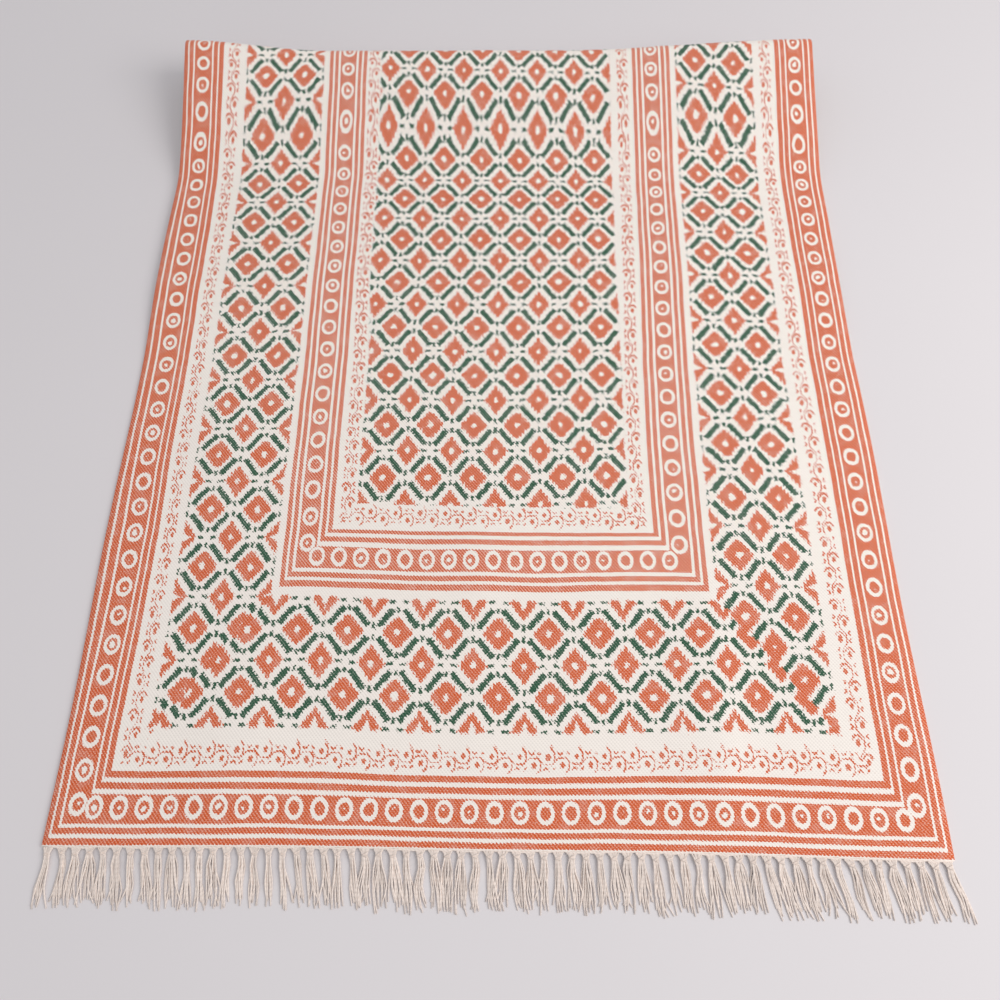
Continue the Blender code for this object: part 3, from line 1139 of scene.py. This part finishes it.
def build_fringe(name, fringe, cloth, form, end_y, material):
    """Tassels that point towards -Y from the cloth's end: gathered yarns, a knot and a loose fan."""
    chance = random.Random(LOOK_SEED)
    bundle = Bundle()
    yarn = yarn_template(YARN_CUTS)
    knot = knot_template()
    radius = fringe.yarn_thickness / 2
    lying = cloth.thickness / 2
    for tassel in range(fringe.tassels):
        middle = cloth.width * ((tassel + 0.5) / fringe.tassels - 0.5)
        outward = 2.0 * middle / cloth.width
        lean = form.lean(outward) + chance.uniform(-0.07, 0.07)
        length = fringe.length * (1.0 + chance.uniform(-0.05, 0.05))
        knot_reach = KNOT_REACH * (1.0 + chance.uniform(-0.12, 0.12))
        base = end_y(middle)
        spread = chance.uniform(0.55, 1.30)
        bow = chance.uniform(-0.0012, 0.0012)
        knot_spot = Vector((middle + lean * knot_reach, base - knot_reach, form.knot_height))
        add_knot(bundle, knot, knot_spot, lean, form, chance)
        for index in range(fringe.yarns):
            share = 2.0 * index / (fringe.yarns - 1) - 1.0
            start_x = middle + share * LEG_SPREAD + chance.uniform(-0.0007, 0.0007)
            fan = share * FAN_HALF_WIDTH * form.splay_share * spread
            tip = fan * chance.uniform(0.6, 1.25) + chance.uniform(-0.0018, 0.0018)
            reach = length * (1.0 + chance.uniform(-0.16, 0.05))
            above = radius * chance.choice((1.0, 2.0, 3.0))
            sway = bow + chance.uniform(-0.0013, 0.0013)
            stray = 0.0
            if chance.random() < STRAY_YARNS:
                stray = chance.choice((-1, 1)) * chance.uniform(0.05, 0.16)
            bends = (
                (start_x, end_y(start_x) + 0.0012, lying),
                (start_x + (knot_spot.x - start_x) * 0.25, base - knot_reach * 0.35, lying + 0.0003),
                (knot_spot.x + share * NECK_HALF_WIDTH, knot_spot.y, form.top),
                (middle + lean * reach * 0.34 + fan * 0.72 + sway, base - reach * 0.34, above),
                (
                    middle + lean * reach * 0.68 + fan - sway + stray * reach * 0.2,
                    base - reach * 0.68,
                    (above + radius) / 2,
                ),
                (middle + (lean + stray) * reach + tip, base - reach, radius),
            )
            route = smooth_route(bends, YARN_CUTS + 2)
            route[:, 2] = np.maximum(route[:, 2], radius)
            radii = np.full(len(route), radius)
            radii[-1] *= TIP_SHARE
            lay_yarn(bundle, yarn, route, radii, chance.random())
    add_end_cord(bundle, fringe, cloth, end_y)
    return bundle.finish(name, material)


def add_knot(bundle, template, spot, lean, form, chance):
    """Two crossing turns of yarn round the gathered tassel."""
    spots, faces = template
    half_sizes = np.array((KNOT_HALF_WIDTH, KNOT_HALF_DEPTH, form.knot_height * 0.56))
    for turn, tilt in enumerate(KNOT_TILTS):
        turned = Matrix.Rotation(math.radians(tilt + chance.uniform(-8.0, 8.0)), 3, "Z")
        placed = spots * half_sizes @ np.array(turned).T
        offset = Vector((lean * -0.001 * turn, 0.0009 - 0.0018 * turn, 0.0))
        places = placed + np.array(spot + offset)
        places[:, 2] = np.maximum(places[:, 2], 0.0001)
        angles = np.arctan2(spots[:, 2], spots[:, 0])
        values = np.column_stack((np.ones(len(spots)), np.zeros(len(spots)), angles * 0.0026))
        bundle.add(places, values, chance.random(), faces)


def add_end_cord(bundle, fringe, cloth, end_y):
    """The row of small loops at the cloth's end, from which the tassels' legs come."""
    cord = yarn_template(CORD_CUTS)
    half = cloth.width / 2 - EDGE_ROUNDING
    pitch = cloth.width / fringe.tassels
    route = []
    for step in range(CORD_CUTS + 2):
        x = half * (2.0 * step / (CORD_CUTS + 1) - 1.0)
        bow = CORD_BOW * math.cos(2 * math.pi * x / pitch)
        route.append((x, end_y(x) - 0.0003 + bow, cloth.thickness * 0.62))
    radii = np.full(len(route), fringe.yarn_thickness * CORD_SHARE)
    lay_yarn(bundle, cord, np.array(route), radii, -0.3)


class RUG_OT_add_cloth(bpy.types.Operator):
    """Add the printed cloth, lying with its far end folded under"""

    bl_idname = "rug.add_cloth"
    bl_label = "Add Cloth"
    bl_options = {"REGISTER", "UNDO"}

    def execute(self, context):
        cloth = context.scene.rug_cloth
        rings = cloth_rings(cloth, rug_shift())
        faces = ring_faces(len(rings), len(rings[0]), COLUMNS + 1)
        places, flats = zip(*(spot for ring in rings for spot in ring))
        piece = new_piece("printed_rug_cloth", places, faces, printed_cotton(cloth))
        add_point_values(piece, "cloth", flats)
        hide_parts("rug_cloth")
        return {"FINISHED"}


class RUG_OT_add_fringes(bpy.types.Operator):
    """Add the open fringe and the one that lies under the fold"""

    bl_idname = "rug.add_fringes"
    bl_label = "Add Fringes"
    bl_options = {"REGISTER", "UNDO"}

    def execute(self, context):
        cloth, fringe = context.scene.rug_cloth, context.scene.rug_fringe
        rug = bpy.data.objects.get("printed_rug_cloth")
        if rug is None:
            raise RuntimeError("add the cloth first, because the fringes are part of it")
        shift = rug_shift()
        material = fringe_cotton(fringe)
        hidden = [(x, fold_path(x, cloth)[-1][0].x + shift) for x in cloth_columns(cloth)]
        hidden_x, hidden_y = zip(*hidden)
        near = build_fringe(
            "knotted_fringe_near", fringe, cloth, OPEN_FORM, lambda x: near_end(x) + shift, material
        )
        under = build_fringe(
            "knotted_fringe_folded_under", fringe, cloth, HIDDEN_FORM,
            lambda x: float(np.interp(x, hidden_x, hidden_y)), material,
        )
        for piece, node in ((near, "fringe_near"), (under, "fringe_folded_under")):
            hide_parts(node)
        return {"FINISHED"}


class RUG_OT_add_stage(bpy.types.Operator):
    """Add the floor, the soft light and the camera"""

    bl_idname = "rug.add_stage"
    bl_label = "Add Stage"
    bl_options = {"REGISTER", "UNDO"}

    def execute(self, context):
        settings = context.scene.rug_stage
        add_floor(settings)
        add_lights(settings)
        add_camera(settings)
        return {"FINISHED"}


# The stage: a light from the right aimed at the origin, and the camera's place before the rug is
# centred, with its turns in degrees round Z, then X, then its own line of sight
FLOOR_SIZE = 9.0
FLOOR_MOTTLE = 0.625
KEY_PLACE = (2.2, -0.6, 1.9)
KEY_SIZE = 1.9
KEY_COLOUR = (1.0, 0.985, 0.97)
SURROUND_COLOUR = (0.96, 0.97, 1.0, 1.0)
CAMERA_PLACE = (0.0081, -0.0545, 0.9365)
CAMERA_TURNS = (0.619, 25.063, -0.535)


def add_floor(settings):
    """A wide plain floor under the rug."""
    deselect_all()
    bpy.ops.mesh.primitive_plane_add(size=FLOOR_SIZE, location=(0.0, 0.0, 0.0))
    floor = bpy.context.object
    floor.name = "floor"
    material, tree, shader = new_material("floor_paint", 0.85, specular=0.15, sheen=0.0)
    place = tree.nodes.new("ShaderNodeTexCoord")
    across, along, _ = split(tree, place.outputs["Object"])
    share = eased(noise(tree, across, along, FLOOR_MOTTLE, 2.0), 0.3, 0.8) * 0.06
    light = tuple(settings.floor)
    tree.links.new(blend(tree, share, light, dimmed(light, 0.8)), shader.inputs["Base Color"])
    floor.data.materials.append(material)


def add_lights(settings):
    """One large soft light from the right, and even light from all round."""
    light = bpy.data.lights.new("key", "AREA")
    light.shape = "SQUARE"
    light.size = KEY_SIZE
    light.energy = settings.key_power
    light.color = KEY_COLOUR
    lamp = bpy.data.objects.new("key", light)
    lamp.location = KEY_PLACE
    lamp.rotation_euler = (-Vector(KEY_PLACE)).to_track_quat("-Z", "Y").to_euler()
    bpy.context.scene.collection.objects.link(lamp)
    world = bpy.data.worlds.new("soft surroundings")
    world.use_nodes = True
    surround = world.node_tree.nodes["Background"]
    surround.inputs["Color"].default_value = SURROUND_COLOUR
    surround.inputs["Strength"].default_value = settings.fill
    bpy.context.scene.world = world


def add_camera(settings):
    """The camera, above the near end and looking steeply down."""
    camera = bpy.data.cameras.new("camera")
    camera.sensor_width = 36.0
    camera.lens = settings.lens
    camera.clip_start = 0.05
    camera.clip_end = 50.0
    rig = bpy.data.objects.new("camera", camera)
    turn, tilt, roll = (math.radians(angle) for angle in CAMERA_TURNS)
    x, y, z = CAMERA_PLACE
    rig.matrix_world = (
        Matrix.Translation((x, y + rug_shift(), z))
        @ Matrix.Rotation(turn, 4, "Z")
        @ Matrix.Rotation(tilt, 4, "X")
        @ Matrix.Rotation(roll, 4, "Z")
    )
    bpy.context.scene.collection.objects.link(rig)
    bpy.context.scene.camera = rig
    bpy.context.scene.view_settings.view_transform = "Standard"


class RUG_PT_builder(bpy.types.Panel):
    """The rug's sizes and colours, and a button for each of its pieces"""

    bl_idname = "RUG_PT_builder"
    bl_label = "Dhurrie Rug"
    bl_space_type = "VIEW_3D"
    bl_region_type = "UI"
    bl_category = "Rug"

    def draw(self, context):
        scene = context.scene
        parts = (
            (scene.rug_cloth, "rug.add_cloth"),
            (scene.rug_fringe, "rug.add_fringes"),
            (scene.rug_stage, "rug.add_stage"),
        )
        for settings, operator in parts:
            box = self.layout.box()
            for name in settings.__annotations__:
                box.prop(settings, name)
            box.operator(operator)


CLASSES = (
    RugClothSettings,
    RugFringeSettings,
    RugStageSettings,
    RUG_OT_add_cloth,
    RUG_OT_add_fringes,
    RUG_OT_add_stage,
    RUG_PT_builder,
)


def register():
    for item in CLASSES:
        bpy.utils.register_class(item)
    bpy.types.Scene.rug_cloth = bpy.props.PointerProperty(type=RugClothSettings)
    bpy.types.Scene.rug_fringe = bpy.props.PointerProperty(type=RugFringeSettings)
    bpy.types.Scene.rug_stage = bpy.props.PointerProperty(type=RugStageSettings)


def unregister():
    del bpy.types.Scene.rug_stage
    del bpy.types.Scene.rug_fringe
    del bpy.types.Scene.rug_cloth
    for item in reversed(CLASSES):
        bpy.utils.unregister_class(item)


def main():
    register()
    bpy.ops.rug.add_cloth()
    bpy.ops.rug.add_fringes()
    bpy.ops.rug.add_stage()
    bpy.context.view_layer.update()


if __name__ == "__main__":
    main()
